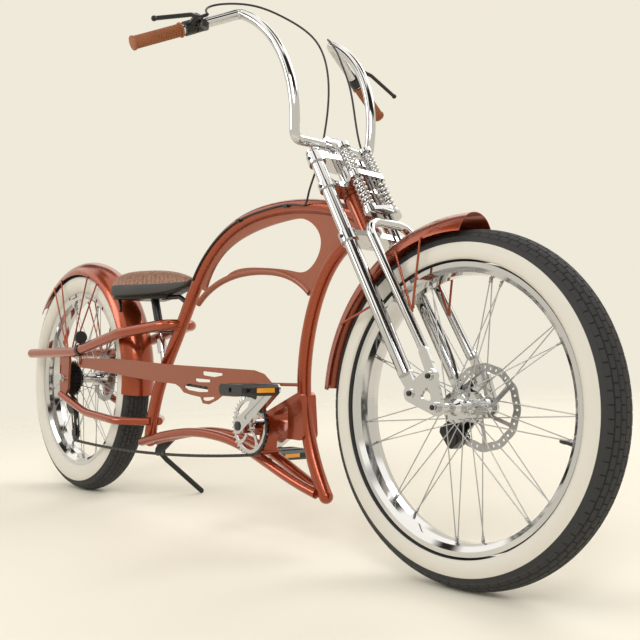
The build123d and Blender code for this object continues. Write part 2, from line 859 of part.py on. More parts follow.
def brake_levers():
    made = rod(on_grip(132), on_grip(156), 17)
    made += rod(on_grip(144, 8), on_grip(144, 40), 9)
    made += tube([corner(on_grip(150, 36)), corner(on_grip(118, 52), 24), corner(on_grip(10, 76))], 5)
    made += ball(on_grip(10, 76), 6.5)
    made += rod(on_grip(144, 30), on_grip(172, 34), 4)
    made -= rod(on_grip(0), on_grip(220), bar_radius)
    return both(made)


def shifter():
    # gear changer on the right, inboard of the brake lever
    made = rod(on_grip(160), on_grip(180), 16.5)
    made += rod(on_grip(170, 14) - Vector(0, 0, 4), on_grip(170, 14) - Vector(0, 0, 18), 17)
    made += rod(on_grip(170, 14) - Vector(0, 0, 14), on_grip(148, 34) - Vector(0, 0, 14), 3.5)
    made -= rod(on_grip(0), on_grip(240), bar_radius)
    made = made - brake_levers()[0]
    return mirrored(main_solid(made))


def caliper(centre, angle):
    x, z = round_at(centre, 86, angle)
    turn = radians(angle)
    base = Plane(origin=(x, rotor_side, z), x_dir=(cos(turn), 0, sin(turn)), z_dir=(0, -1, 0))
    body = base * (Pos(8, 0, 0) * Box(44, 52, 28))
    body = chamfer(body.edges().filter_by(Axis.Y), 6)
    body += base * (Pos(8, -12, 11) * Cylinder(11, 10)) + base * (Pos(8, 12, 11) * Cylinder(11, 10))
    return body - base * (Pos(-22, 0, 0) * Box(64, 80, 7))


def front_caliper():
    x, z = front_hub.X, front_hub.Z
    arm = web([(x - 44, z + 8, 12), (x - 72, z - 48, 13), (x - 34, z - 20, 12)], 73, 80)
    for one in fork_legs() + rockers():
        arm -= one
    return main_solid(caliper(front_hub, 219) + arm)


def rear_caliper():
    arm = web([(44, 28, 9), (64, 66, 10), (76, 50, 10)], 73, 76) - upper_stay_solid()
    return main_solid(caliper(rear_hub, 24) + arm)


cable_radius = 2.5


def front_brake_cable():
    # from the left lever over the crown, down the leg and to the caliper
    high = [(1065, 150, 928), (1134, 112, 880), (1200, 80, 813), (1245, 66, 745)]
    low = [
        (-40, 30, 62), (10, 27, 59.5), (90, 26, 59.5), (240, 26, 59.5), (420, 26, 59.5), (540, 23, 63), (600, 4, 67.6),
        (655, -34, 66),
    ]
    points = [on_grip(174, 34.5)] + [Vector(row[0], row[1], row[2]) for row in high] + [on_steer(*row) for row in low]
    made = smooth_tube(points, cable_radius) - brake_levers()[0]
    return main_solid(made - front_caliper())


def gear_cable():
    # from the right changer across the bars, behind the head and along the top tube
    lever = on_grip(174, 34.5)
    loop = [
        (lever.X, -lever.Y, lever.Z), (1049, -210, 917), (1090, -140, 930), (1125, -50, 915), (1165, 15, 870),
        (1200, 30, 790), (1218, 22, 700),
    ]
    behind_head = [(1230, 0, 610), (1232, -24, 530), (1218, -33, 478)]
    side = -top_tube_radius - cable_radius - 0.3
    clipped = [(0.88, 454.5), (0.86, 457), (0.706, 461), (0.542, 440), (0.408, 387), (0.30, 297)]
    points = [steer_top + steered_vector(Vector(*row) - steer_top) for row in loop]
    points += [Vector(*row) for row in behind_head]
    points += [on_frame(share, rise, side) for share, rise in clipped]
    made = smooth_tube(points, cable_radius)
    for share, rise in [(0.80, 461), (0.56, 444)]:
        clip = on_frame(share, rise, side)
        made += rod((clip.X - 7, side, rise), (clip.X + 7, side, rise), 5)
    return main_solid(made - top_tube_solid() - steered(mirrored(brake_levers()[0])))


def steered(shape):
    return shape.rotate(Axis(origin=tuple(steer_top), direction=tuple(steer_down * -1)), steer_turn)


def leaned(shape, lean, pitch):
    return shape.rotate(Axis.X, -lean).rotate(Axis.Y, pitch)


def steered_vector(vector):
    return vector.rotate(Axis(origin=(0, 0, 0), direction=tuple(steer_down * -1)), steer_turn)


def low_point(ring, half, centre, direction, lean, pitch):
    # lowest height of a leaned tyre
    rise = leaned(direction, lean, pitch).Z
    return leaned(centre, lean, pitch).Z - ring * sqrt(1 - rise ** 2) - half


def settle():
    # lean and pitch that put both tyres and the stand's foot on the road
    lean = 5.0
    pitch = 0.5
    side = Vector(0, 1, 0)
    front_at = steer_top + steered_vector(front_hub - steer_top)
    for step in range(30):
        rear = low_point(rear_tyre_radius - rear_tyre_half, rear_tyre_half, rear_hub, side, lean, pitch)
        front = low_point(
            front_tyre_radius - front_tyre_half, front_tyre_half, front_at, steered_vector(side), lean, pitch
        )
        foot = leaned(Vector(*stand_foot), lean, pitch).Z - stand_radius
        pitch += degrees((front - rear) / wheelbase)
        lean += 0.8 * degrees((foot - rear) / stand_foot[1])
    return lean, pitch, -rear


lean_deg, pitch_deg, park_lift = settle()
pieces = []


def add(name, made, turn=False):
    made = made if isinstance(made, (list, tuple)) else [made]
    solids = []
    for one in made:
        one = steered(one) if turn else one
        solids += leaned(one, lean_deg, pitch_deg).solids()
    kept = Compound(children=[Solid(one.wrapped) for one in solids])
    kept.label = name
    pieces.append((name, kept))


add("head_tube", head_tube())
add("top_tube", top_tube())
add("down_tube", down_tube())
add("frame_web", frame_web())
add("lower_tubes", lower_tubes())
add("bottom_bracket", bottom_bracket())
add("upper_stays", upper_stays())
add("lower_stays", lower_stays())
add("dropouts", dropouts())
add("rear_axle", rear_axle())
add("rear_fender", rear_fender())
add("rear_fender_stays", rear_fender_stays())
add("chain_guard", chain_guard())
add("chain", chain())
add("derailleur", derailleur())
add("saddle", saddle())
add("saddle_frame", saddle_frame())
add("seat_shock", seat_shock())
add("stand_bracket", stand_bracket())
add("rear_caliper", rear_caliper())
add("rear_reflector", rear_reflector())
add("gear_cable", gear_cable())
add("side_stand", side_stand())
add("rear_tyre", tyre(rear_hub, rear_tyre_height, rear_tyre_half))
add("rear_rim", rim(rear_hub))
add("rear_spokes", spokes(rear_hub))
add("rear_hub", hub(rear_hub, rotor_side - 1, dropout_inner - 0.3))
add("rear_sprockets", sprocket_stack())
add("rear_rotor", rotor(rear_hub, rear_rotor_radius))
add("chainring", chainring())
add("crank_axle", crank_axle())
add("right_crank", crank_arm(-1))
add("left_crank", crank_arm(1))
add("right_pedal", pedal(-1))
add("left_pedal", pedal(1))
add("steerer", steerer(), True)
add("fork_plates", fork_plates(), True)
add("fork_legs", fork_legs(), True)
add("front_legs", front_legs(), True)
add("rockers", rockers(), True)
add("front_axle", front_axle(), True)
add("fork_springs", fork_springs(), True)
add("spring_rods", spring_rods(), True)
add("spring_bridge", spring_bridge(), True)
add("front_fender", front_fender(), True)
add("front_fender_stays", front_fender_stays(), True)
add("handlebar", handlebar(), True)
add("stem", stem(), True)
add("grips", grips(), True)
add("brake_levers", brake_levers(), True)
add("shifter", shifter(), True)
add("front_caliper", front_caliper(), True)
add("front_brake_cable", front_brake_cable(), True)
add("front_tyre", tyre(front_hub, front_tyre_height, front_tyre_half), True)
add("front_rim", rim(front_hub), True)
add("front_spokes", spokes(front_hub), True)
add("front_hub", hub(front_hub, rotor_side - 1, 79.7), True)
add("front_rotor", rotor(front_hub, front_rotor_radius), True)

# The finished part stands on z = 0 with x = y = 0 in the middle of its outer box.
outer = [kept.bounding_box() for name, kept in pieces]
middle_x = (min(box.min.X for box in outer) + max(box.max.X for box in outer)) / 2
middle_y = (min(box.min.Y for box in outer) + max(box.max.Y for box in outer)) / 2
shift = (-middle_x, -middle_y, park_lift)

for name, kept in pieces:
    export_step(kept.moved(Location(shift)), os.path.join("parts", name + ".step"))
    print(name, len(kept.solids()), round(kept.volume))

print("parked", lean_deg, pitch_deg, *shift)
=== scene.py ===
import json
import math

import bmesh
import bpy
from mathutils import Matrix, Vector

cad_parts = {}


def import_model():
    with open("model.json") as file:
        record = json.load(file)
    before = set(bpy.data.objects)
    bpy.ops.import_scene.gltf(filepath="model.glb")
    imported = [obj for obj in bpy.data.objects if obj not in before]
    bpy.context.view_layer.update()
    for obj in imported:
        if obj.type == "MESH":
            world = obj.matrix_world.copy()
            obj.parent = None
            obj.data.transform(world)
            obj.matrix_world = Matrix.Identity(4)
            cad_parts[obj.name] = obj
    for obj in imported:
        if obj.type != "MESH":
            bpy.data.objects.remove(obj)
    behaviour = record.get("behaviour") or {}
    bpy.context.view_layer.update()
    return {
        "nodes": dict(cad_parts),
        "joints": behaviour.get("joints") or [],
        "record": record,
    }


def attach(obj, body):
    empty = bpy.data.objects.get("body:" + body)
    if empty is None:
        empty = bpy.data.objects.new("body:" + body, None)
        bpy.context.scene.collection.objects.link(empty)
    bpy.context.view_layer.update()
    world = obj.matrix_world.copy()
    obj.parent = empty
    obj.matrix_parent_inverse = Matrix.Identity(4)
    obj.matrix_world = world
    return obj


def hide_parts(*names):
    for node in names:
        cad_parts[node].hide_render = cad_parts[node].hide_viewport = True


# metres, in the bicycle's own space: x ahead of the rear axle, y to the left, z up
steering = {"angle": 58.0, "hubDown": 0.6708, "hubAhead": 0.0461, "wheelbase": 1.682, "hubRise": 0.0026}
rearHub = Vector((0, 0, 0))
frontHub = Vector((steering["wheelbase"], 0, steering["hubRise"]))


def makeSpace(axleAxis, steerAxis):
    # turns the bicycle's own directions to where its axle and its steering really point
    y = Vector(axleAxis).normalized()
    down = Vector(steerAxis).normalized()
    angle = math.radians(steering["angle"])
    x = (y.cross(down) * math.sin(angle) - down * math.cos(angle)).normalized()
    z = x.cross(y)
    return Matrix((x, y, z)).transposed().to_4x4()


def makeSpaces(joints):
    rear = joints["rear_wheel_spin"]
    front = joints["front_wheel_spin"]
    steerAxis = joints["steering_turn"]["axis"]
    frameSpace = makeSpace(rear["axis"], steerAxis)
    frameSpace.translation = Vector(rear["pos_m"])
    forkSpace = makeSpace(front["axis"], steerAxis)
    forkSpace.translation = Vector(front["pos_m"]) - forkSpace.to_3x3() @ frontHub
    return frameSpace, forkSpace


def onSteer(down, ahead, side):
    # a place given down the fork's axis, ahead of it and to its left
    angle = math.radians(steering["angle"])
    downWay = Vector((math.cos(angle), 0, -math.sin(angle)))
    aheadWay = Vector((math.sin(angle), 0, math.cos(angle)))
    top = frontHub - downWay * steering["hubDown"] - aheadWay * steering["hubAhead"]
    return top + downWay * down + aheadWay * ahead + Vector((0, side, 0))


finishTable = {
    # base color, metallic, roughness and coat
    "copperPaint": ((0.31, 0.048, 0.010), 0.7, 0.26, 0.6),
    "satinCopper": ((0.27, 0.072, 0.032), 0.4, 0.42, 0.25),
    "chrome": ((0.60, 0.60, 0.605), 1.0, 0.07, 0.0),
    "blackLeather": ((0.02, 0.018, 0.017), 0.0, 0.5, 0.0),
    "steel": ((0.42, 0.42, 0.42), 1.0, 0.30, 0.0),
    "darkSteel": ((0.06, 0.058, 0.055), 0.9, 0.38, 0.0),
    "blackMetal": ((0.014, 0.014, 0.014), 0.3, 0.33, 0.0),
    "blackPlastic": ((0.016, 0.016, 0.017), 0.0, 0.45, 0.0),
    "tyreRubber": ((0.022, 0.022, 0.023), 0.0, 0.72, 0.0),
    "whitewall": ((0.62, 0.595, 0.54), 0.0, 0.55, 0.0),
    "saddleLeather": ((0.24, 0.09, 0.035), 0.0, 0.42, 0.0),
    "gripRubber": ((0.30, 0.095, 0.032), 0.0, 0.55, 0.0),
    "amberLens": ((0.85, 0.36, 0.03), 0.0, 0.18, 0.6),
    "redLens": ((0.55, 0.01, 0.01), 0.0, 0.18, 0.6),
}
coatRoughness = 0.05
grainTable = {
    # scale, strength, depth and detail of the fine relief
    "tyreRubber": (900, 0.15, 0.0003, 4.0),
    "saddleLeather": (260, 0.35, 0.0006, 6.0),
    "gripRubber": (500, 0.2, 0.0003, 4.0),
}
leatherTones = {"low": (0.16, 0.06, 0.03), "high": (0.34, 0.17, 0.10), "from": 0.35, "to": 0.7}


def makeMaterial(name, color, metallic, roughness, coat):
    material = bpy.data.materials.new(name)
    material.use_nodes = True
    shader = material.node_tree.nodes["Principled BSDF"]
    shader.inputs["Base Color"].default_value = (*color, 1)
    shader.inputs["Metallic"].default_value = metallic
    shader.inputs["Roughness"].default_value = roughness
    shader.inputs["Coat Weight"].default_value = coat
    shader.inputs["Coat Roughness"].default_value = coatRoughness
    return material


def addNode(tree, kind, operation=None):
    node = tree.nodes.new(kind)
    if operation:
        node.operation = operation
    return node


def addRamp(tree, low, high, start, end):
    ramp = addNode(tree, "ShaderNodeValToRGB")
    for element, color, position in zip(ramp.color_ramp.elements, (low, high), (start, end)):
        element.color = (*color, 1)
        element.position = position
    return ramp


def addGrain(material, scale, strength, depth, detail):
    # relief from noise on the piece's own coordinates
    tree = material.node_tree
    where = addNode(tree, "ShaderNodeTexCoord")
    noise = addNode(tree, "ShaderNodeTexNoise")
    noise.inputs["Scale"].default_value = scale
    noise.inputs["Detail"].default_value = detail
    bump = addNode(tree, "ShaderNodeBump")
    bump.inputs["Strength"].default_value = strength
    bump.inputs["Distance"].default_value = depth
    tree.links.new(where.outputs["Object"], noise.inputs["Vector"])
    tree.links.new(noise.outputs["Fac"], bump.inputs["Height"])
    tree.links.new(bump.outputs["Normal"], tree.nodes["Principled BSDF"].inputs["Normal"])
    return noise


def addMottle(material, noise, tones):
    # the color runs between two tones over the grain's noise
    tree = material.node_tree
    ramp = addRamp(tree, tones["low"], tones["high"], tones["from"], tones["to"])
    tree.links.new(noise.outputs["Fac"], ramp.inputs["Fac"])
    tree.links.new(ramp.outputs["Color"], tree.nodes["Principled BSDF"].inputs["Base Color"])


def makeFinishes():
    made = {name: makeMaterial(name, *values) for name, values in finishTable.items()}
    noises = {name: addGrain(made[name], *values) for name, values in grainTable.items()}
    addMottle(made["saddleLeather"], noises["saddleLeather"], leatherTones)
    return made


slotFinish = {
    "copper_paint": "copperPaint", "chrome": "chrome", "steel": "steel", "black_metal": "blackMetal",
    "black_plastic": "blackPlastic", "tyre": "tyreRubber", "leather": "saddleLeather", "grip": "gripRubber",
}
# nodes whose finish differs from their slot's
nodeFinish = {
    "rear_sprockets": "darkSteel", "chain": "darkSteel", "crank_axle": "blackMetal",
    "rear_spokes": "steel", "front_spokes": "steel",
    "chain_guard": "satinCopper", "frame_web": "satinCopper", "dropouts": "satinCopper",
}


def paintNodes(loaded, finishes):
    slots = {part["node"]: part["material_slot"] for part in loaded["record"]["subparts"]}
    for name, node in loaded["nodes"].items():
        node.data.materials.clear()
        node.data.materials.append(finishes[nodeFinish.get(name, slotFinish[slots[name]])])


def finishPiece(name, bm, space, body, materials, smooth=True):
    # smooth is None where the faces are already marked
    bmesh.ops.transform(bm, matrix=space, verts=bm.verts)
    if smooth is not None:
        for face in bm.faces:
            face.smooth = smooth
    mesh = bpy.data.meshes.new(name)
    bm.to_mesh(mesh)
    bm.free()
    piece = bpy.data.objects.new(name, mesh)
    bpy.context.scene.collection.objects.link(piece)
    for material in materials:
        mesh.materials.append(material)
    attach(piece, body)
    return piece


sharpAngle = 35  # degrees between two faces from which their edge stays sharp


def markSharp(piece):
    piece.data.set_sharp_from_angle(angle=math.radians(sharpAngle))


def edgesOf(verts):
    # each edge once, always in the same order
    return list(dict.fromkeys(edge for vert in verts for edge in vert.link_edges))


def addRound(bm, place, way, radius, length, sides, rounding=0.0):
    # a short cylinder standing on place and running along way
    turn = Vector(way).to_track_quat("Z", "Y").to_matrix().to_4x4()
    where = Matrix.Translation(Vector(place) + Vector(way).normalized() * length / 2) @ turn
    made = bmesh.ops.create_cone(
        bm, cap_ends=True, segments=sides, radius1=radius, radius2=radius, depth=length, matrix=where
    )
    if rounding:
        # only the two caps have more than four corners
        ends = []
        for edge in edgesOf(made["verts"]):
            if any(len(face.verts) > 4 for face in edge.link_faces):
                ends.append(edge)
        bmesh.ops.bevel(
            bm, geom=ends, offset=rounding, affect="EDGES", segments=2, profile=0.5, material=-1
        )


tyreSizes = {
    "rear": {"radius": 0.370, "half": 0.050, "rim": 0.286, "whiteTo": 0.3395},
    "front": {"radius": 0.353, "half": 0.046, "rim": 0.286, "whiteTo": 0.3215},
    # faces round the wheel and round the section, and how far the tread and the whitewall reach
    "steps": 176, "segments": 48, "treadAngle": 52.5, "groove": 0.0015, "depth": 0.0022,
    "seat": 0.0005, "whiteFrom": 0.0015, "whiteSide": 0.02, "weld": 0.00001,
}


def sectionAngle(face, ring):
    # degrees from the middle of the tread round the tyre's section
    middle = face.calc_center_median()
    return math.degrees(math.atan2(middle.y, math.hypot(middle.x, middle.z) - ring))


def treadBlocks(faces, ring):
    # two faces along and two across make one block, and every second column is shifted by half
    step = 2 * math.pi / tyreSizes["steps"]
    wide = 2 * 360 / tyreSizes["segments"]
    blocks = {}
    for face in faces:
        middle = face.calc_center_median()
        around = math.atan2(middle.z, middle.x) % (2 * math.pi)
        column = int((sectionAngle(face, ring) + tyreSizes["treadAngle"]) // wide)
        row = (int(around // step) + column % 2) % tyreSizes["steps"] // 2
        blocks.setdefault((column, row), []).append(face)
    return blocks.values()


def makeTyre(which, space, hub, body, finishes):
    values = tyreSizes[which]
    shell = values["half"] - tyreSizes["depth"]
    ring = values["radius"] - values["half"]
    bm = bmesh.new()
    bmesh.ops.create_circle(bm, cap_ends=False, radius=shell, segments=tyreSizes["segments"])
    bmesh.ops.translate(bm, vec=(ring, 0, 0), verts=bm.verts)
    inside = [vert for vert in bm.verts if vert.co.x < values["rim"] - tyreSizes["seat"]]
    bmesh.ops.delete(bm, geom=inside, context="VERTS")
    # one edge closes the section where it is cut, inside the rim
    bm.edges.new([vert for vert in bm.verts if len(vert.link_edges) == 1])
    bmesh.ops.spin(
        bm, geom=bm.verts[:] + bm.edges[:], cent=(0, 0, 0), axis=(0, 1, 0), dvec=(0, 0, 0),
        angle=2 * math.pi, steps=tyreSizes["steps"], use_merge=True, use_duplicate=False,
    )
    bmesh.ops.remove_doubles(bm, verts=bm.verts, dist=tyreSizes["weld"])
    bmesh.ops.recalc_face_normals(bm, faces=bm.faces)
    tread = []
    for face in bm.faces:
        middle = face.calc_center_median()
        reach = math.hypot(middle.x, middle.z)
        white = values["rim"] + tyreSizes["whiteFrom"] < reach < values["whiteTo"]
        if abs(sectionAngle(face, ring)) < tyreSizes["treadAngle"]:
            tread.append(face)
        elif white and abs(middle.y) > tyreSizes["whiteSide"]:
            face.material_index = 1
    for block in treadBlocks(tread, ring):
        bmesh.ops.inset_region(
            bm, faces=block, thickness=tyreSizes["groove"], depth=tyreSizes["depth"],
            use_even_offset=True, use_boundary=True,
        )
    for face in bm.faces:
        face.smooth = abs(sectionAngle(face, ring)) >= tyreSizes["treadAngle"]
    bmesh.ops.translate(bm, vec=hub, verts=bm.verts)
    covers = [finishes["tyreRubber"], finishes["whitewall"]]
    piece = finishPiece(which + "Tyre", bm, space, body, covers, None)
    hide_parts(which + "_tyre")


saddleShape = {
    # distance ahead of the rear axle, half width, crown and hem heights over it
    "sections": [
        (0.297, 0.052, 0.312, 0.288), (0.304, 0.072, 0.325, 0.276), (0.320, 0.088, 0.335, 0.268),
        (0.350, 0.097, 0.341, 0.263), (0.410, 0.091, 0.341, 0.263), (0.480, 0.061, 0.339, 0.265),
        (0.560, 0.034, 0.331, 0.271), (0.620, 0.025, 0.317, 0.282), (0.642, 0.020, 0.310, 0.288),
        (0.649, 0.012, 0.305, 0.293),
    ],
    "fullness": 0.80, "belly": 0.006, "points": 40, "levels": 2, "fill": 0.85,
    "skirtAngle": 17.0, "quilt": 0.021, "quiltDepth": 0.0022, "quiltPower": 0.5,
}


def addQuilt(material, alongWay, acrossWay):
    # diamond cushions along and across the saddle, over the leather's own grain
    tree = material.node_tree
    where = addNode(tree, "ShaderNodeTexCoord")
    waves = []
    for way in (alongWay + acrossWay, alongWay - acrossWay):
        dot = addNode(tree, "ShaderNodeVectorMath", "DOT_PRODUCT")
        dot.inputs[1].default_value = way * (math.pi / saddleShape["quilt"])
        wave = addNode(tree, "ShaderNodeMath", "SINE")
        folded = addNode(tree, "ShaderNodeMath", "ABSOLUTE")
        tree.links.new(where.outputs["Object"], dot.inputs[0])
        tree.links.new(dot.outputs["Value"], wave.inputs[0])
        tree.links.new(wave.outputs["Value"], folded.inputs[0])
        waves.append(folded)
    cushion = addNode(tree, "ShaderNodeMath", "MULTIPLY")
    tree.links.new(waves[0].outputs["Value"], cushion.inputs[0])
    tree.links.new(waves[1].outputs["Value"], cushion.inputs[1])
    softened = addNode(tree, "ShaderNodeMath", "POWER")
    softened.inputs[1].default_value = saddleShape["quiltPower"]
    bump = addNode(tree, "ShaderNodeBump")
    bump.inputs["Strength"].default_value = 1.0
    bump.inputs["Distance"].default_value = saddleShape["quiltDepth"]
    shader = tree.nodes["Principled BSDF"]
    tree.links.new(cushion.outputs["Value"], softened.inputs[0])
    tree.links.new(softened.outputs["Value"], bump.inputs["Height"])
    tree.links.new(shader.inputs["Normal"].links[0].from_socket, bump.inputs["Normal"])
    tree.links.new(bump.outputs["Normal"], shader.inputs["Normal"])


def saddleLoop(bm, row, upper):
    # one section, its points above the dark skirt marked in the layer upper
    x, half, crown, hem = row
    power = saddleShape["fullness"]
    skirt = math.sin(math.radians(saddleShape["skirtAngle"]))
    made = bmesh.ops.create_circle(bm, cap_ends=False, radius=1.0, segments=saddleShape["points"])["verts"]
    for vert in made:
        across, high = vert.co.x, vert.co.y
        vert[upper] = int(high > skirt)
        side = math.copysign(abs(across) ** power, across) * half
        if high >= 0:
            rise = hem + (crown - hem) * high ** power
        else:
            rise = hem + saddleShape["belly"] * high
        vert.co = Vector((x, side, rise))
    return edgesOf(made)


def makeSaddle(space, finishes):
    bm = bmesh.new()
    upper = bm.verts.layers.int.new("upper")
    loops = [saddleLoop(bm, row, upper) for row in saddleShape["sections"]]
    for here, there in zip(loops, loops[1:]):
        bmesh.ops.bridge_loops(bm, edges=here + there)
    bmesh.ops.contextual_create(bm, geom=loops[0])
    bmesh.ops.contextual_create(bm, geom=loops[-1])
    bmesh.ops.recalc_face_normals(bm, faces=bm.faces)
    for face in bm.faces:
        if not all(vert[upper] for vert in face.verts):
            face.material_index = 1
    turn = space.to_3x3()
    addQuilt(finishes["saddleLeather"], turn.col[0], turn.col[1])
    covers = [finishes["saddleLeather"], finishes["blackLeather"]]
    piece = finishPiece("saddleCover", bm, space, "frame", covers)
    smooth = piece.modifiers.new("smooth", "SUBSURF")
    smooth.levels = saddleShape["levels"]
    smooth.render_levels = saddleShape["levels"]
    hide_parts("saddle")


gripShape = {
    # down, ahead and side of the bar's last corner and of its end
    "corner": (-0.4188, 0.0147, 0.145), "end": (-0.3465, -0.1036, 0.396),
    # start from the bar's end, radius, length and rounding of the core and of its two collars
    "rounds": [
        (-0.0035, 0.0138, 0.126, 0.001), (-0.004, 0.0168, 0.006, 0.0015), (0.1185, 0.0178, 0.005, 0.0015),
    ],
    "sides": 32,
}
gripRibs = {
    "count": 26, "start": 0.0045, "step": 0.0043, "radius": 0.0150, "length": 0.0027,
    "sides": 28, "rounding": 0.0007,
}


def makeGrips(space, finishes):
    end = onSteer(*gripShape["end"])
    back = (onSteer(*gripShape["corner"]) - end).normalized()
    bm = bmesh.new()
    for start, radius, length, rounding in gripShape["rounds"]:
        addRound(bm, end + back * start, back, radius, length, gripShape["sides"], rounding)
    for number in range(gripRibs["count"]):
        place = end + back * (gripRibs["start"] + gripRibs["step"] * number)
        addRound(
            bm, place, back, gripRibs["radius"], gripRibs["length"], gripRibs["sides"], gripRibs["rounding"]
        )
    mirrored = bm.copy()
    bmesh.ops.scale(mirrored, vec=(1, -1, 1), verts=mirrored.verts)
    bmesh.ops.recalc_face_normals(mirrored, faces=mirrored.faces)
    left = finishPiece("leftGrip", bm, space, "steering", [finishes["gripRubber"]])
    right = finishPiece("rightGrip", mirrored, space, "steering", [finishes["gripRubber"]])
    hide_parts("grips")
    for piece in (left, right):
        markSharp(piece)


pedalLens = {
    "length": 0.049, "height": 0.0105, "thick": 0.003,
    # how far from the pedal's joint, ahead and behind, and towards the bicycle
    "aheadBy": 0.0452, "inBy": 0.014,
}


def makeLenses(frameSpace, joints, finishes):
    size = Matrix.Diagonal((pedalLens["thick"], pedalLens["length"], pedalLens["height"], 1))
    for side, name in ((-1, "right"), (1, "left")):
        body = name + "_pedal"
        middle = frameSpace.inverted() @ Vector(joints[body + "_turn"]["pos_m"])
        bm = bmesh.new()
        for way in (-1, 1):
            place = middle + Vector((way * pedalLens["aheadBy"], -side * pedalLens["inBy"], 0))
            bmesh.ops.create_cube(bm, size=1.0, matrix=Matrix.Translation(place) @ size)
        covers = [finishes["amberLens"]]
        finishPiece(name + "PedalLens", bm, frameSpace, body, covers, False)


nipple = {
    "radius": 0.0021, "length": 0.011, "sides": 8, "perFlange": 18,
    # where the spokes start at the hub's flange and end at the rim
    "hole": 0.026, "flange": 0.031, "flangeStep": 0.0034,
    "reach": 0.2615, "rimSide": 0.012, "rimStep": 0.0025,
    # how far round the wheel a spoke leads, in steps of its flange
    "sweep": 2.5,
}


def makeNipples(name, space, hub, body, finishes):
    # the ends that hold the spokes at the rim, on the spokes' own lines
    bm = bmesh.new()
    step = 360 / nipple["perFlange"]
    for side in (-1, 1):
        for number in range(nipple["perFlange"]):
            lead = 1 if number % 2 else -1
            start = math.radians(number * step + (step / 2 if side > 0 else 0))
            end = start + lead * math.radians(nipple["sweep"] * step)
            hubSide = side * (nipple["flange"] + lead * nipple["flangeStep"])
            rimSide = side * (nipple["rimSide"] + lead * nipple["rimStep"])
            inner = Vector((nipple["hole"] * math.cos(start), hubSide, nipple["hole"] * math.sin(start)))
            outer = Vector((nipple["reach"] * math.cos(end), rimSide, nipple["reach"] * math.sin(end)))
            way = (outer - inner).normalized()
            place = hub + outer - way * nipple["length"]
            addRound(bm, place, way, nipple["radius"], nipple["length"], nipple["sides"])
    finishPiece(name, bm, space, body, [finishes["steel"]])


rotorShape = {
    "rear": 0.080, "front": 0.090, "ring": 0.017, "side": 0.0595, "thick": 0.0019, "weld": 0.00002,
    "sectors": 36, "hole": 0.0027, "holeShape": 0.82, "wave": 0.0022, "waves": 12,
    "arms": 6, "armFrom": 0.015, "armInto": 0.001, "armWidth": 0.008, "armSlant": 35,
    "bore": 0.0102, "spider": 0.020, "spiderSides": 40, "spiderExtra": 0.0006,
}


def polarLoop(bm, low, high, spread):
    # the corners and the middles of the sides of one sector, spread radians to each side
    middle = (low + high) / 2
    places = [
        (low, -1), (middle, -1), (high, -1), (high, 0), (high, 1), (middle, 1), (low, 1), (low, 0),
    ]
    made = bmesh.ops.create_circle(bm, cap_ends=False, radius=1.0, segments=len(places))["verts"]
    for vert, (radius, share) in zip(made, places):
        vert.co = Vector((radius * math.cos(share * spread), radius * math.sin(share * spread), 0))
    return made


def addRotorRing(bm, inner, outer):
    # one drilled sector, repeated round the wheel, waved and thickened
    sectors = rotorShape["sectors"]
    hole = rotorShape["hole"]
    middle = (outer + inner) / 2
    border = polarLoop(bm, inner, outer, math.pi / sectors)
    drilled = polarLoop(bm, middle - hole, middle + hole, rotorShape["holeShape"] * hole / middle)
    bmesh.ops.bridge_loops(bm, edges=edgesOf(border + drilled))
    bmesh.ops.spin(
        bm, geom=bm.verts[:] + bm.edges[:] + bm.faces[:], cent=(0, 0, 0), axis=(0, 0, 1), dvec=(0, 0, 0),
        angle=2 * math.pi * (1 - 1 / sectors), steps=sectors - 1, use_duplicate=True,
    )
    bmesh.ops.remove_doubles(bm, verts=bm.verts, dist=rotorShape["weld"])
    for vert in bm.verts:
        radius = math.hypot(vert.co.x, vert.co.y)
        around = math.atan2(vert.co.y, vert.co.x)
        dip = rotorShape["wave"] * (1 - math.cos(rotorShape["waves"] * around)) / 2
        vert.co.x *= (radius - dip) / radius
        vert.co.y *= (radius - dip) / radius
    bmesh.ops.recalc_face_normals(bm, faces=bm.faces)
    bmesh.ops.solidify(bm, geom=bm.faces[:], thickness=rotorShape["thick"])
    bmesh.ops.recalc_face_normals(bm, faces=bm.faces)
    heights = [vert.co.z for vert in bm.verts]
    bmesh.ops.translate(bm, vec=(0, 0, -(min(heights) + max(heights)) / 2), verts=bm.verts)


def addRotorArms(bm, inner):
    reaches = ((rotorShape["armFrom"], 0), (inner + rotorShape["armInto"], rotorShape["armSlant"]))
    for number in range(rotorShape["arms"]):
        ends = []
        for radius, slant in reaches:
            around = math.radians(360 / rotorShape["arms"] * number + slant)
            ends.append(Vector((radius * math.cos(around), radius * math.sin(around), 0)))
        way = ends[1] - ends[0]
        middle = Matrix.Translation((ends[0] + ends[1]) / 2)
        turn = Matrix.Rotation(math.atan2(way.y, way.x), 4, "Z")
        size = Matrix.Diagonal((way.length, rotorShape["armWidth"], rotorShape["thick"], 1))
        bmesh.ops.create_cube(bm, size=1.0, matrix=middle @ turn @ size)


def addRotorSpider(bm):
    # a flat ring, raised to a closed collar and set back to the middle
    lift = rotorShape["thick"] + rotorShape["spiderExtra"]
    rounds = []
    for radius in (rotorShape["bore"], rotorShape["spider"]):
        made = bmesh.ops.create_circle(bm, cap_ends=False, radius=radius, segments=rotorShape["spiderSides"])
        rounds += edgesOf(made["verts"])
    flat = bmesh.ops.bridge_loops(bm, edges=rounds)["faces"]
    grown = bmesh.ops.extrude_face_region(bm, geom=flat)["geom"]
    raised = [one for one in grown if isinstance(one, bmesh.types.BMVert)]
    bmesh.ops.translate(bm, vec=(0, 0, lift), verts=raised)
    below = [vert for face in flat if face.is_valid for vert in face.verts]
    collar = list(dict.fromkeys(below + raised))
    bmesh.ops.translate(bm, vec=(0, 0, -lift / 2), verts=collar)


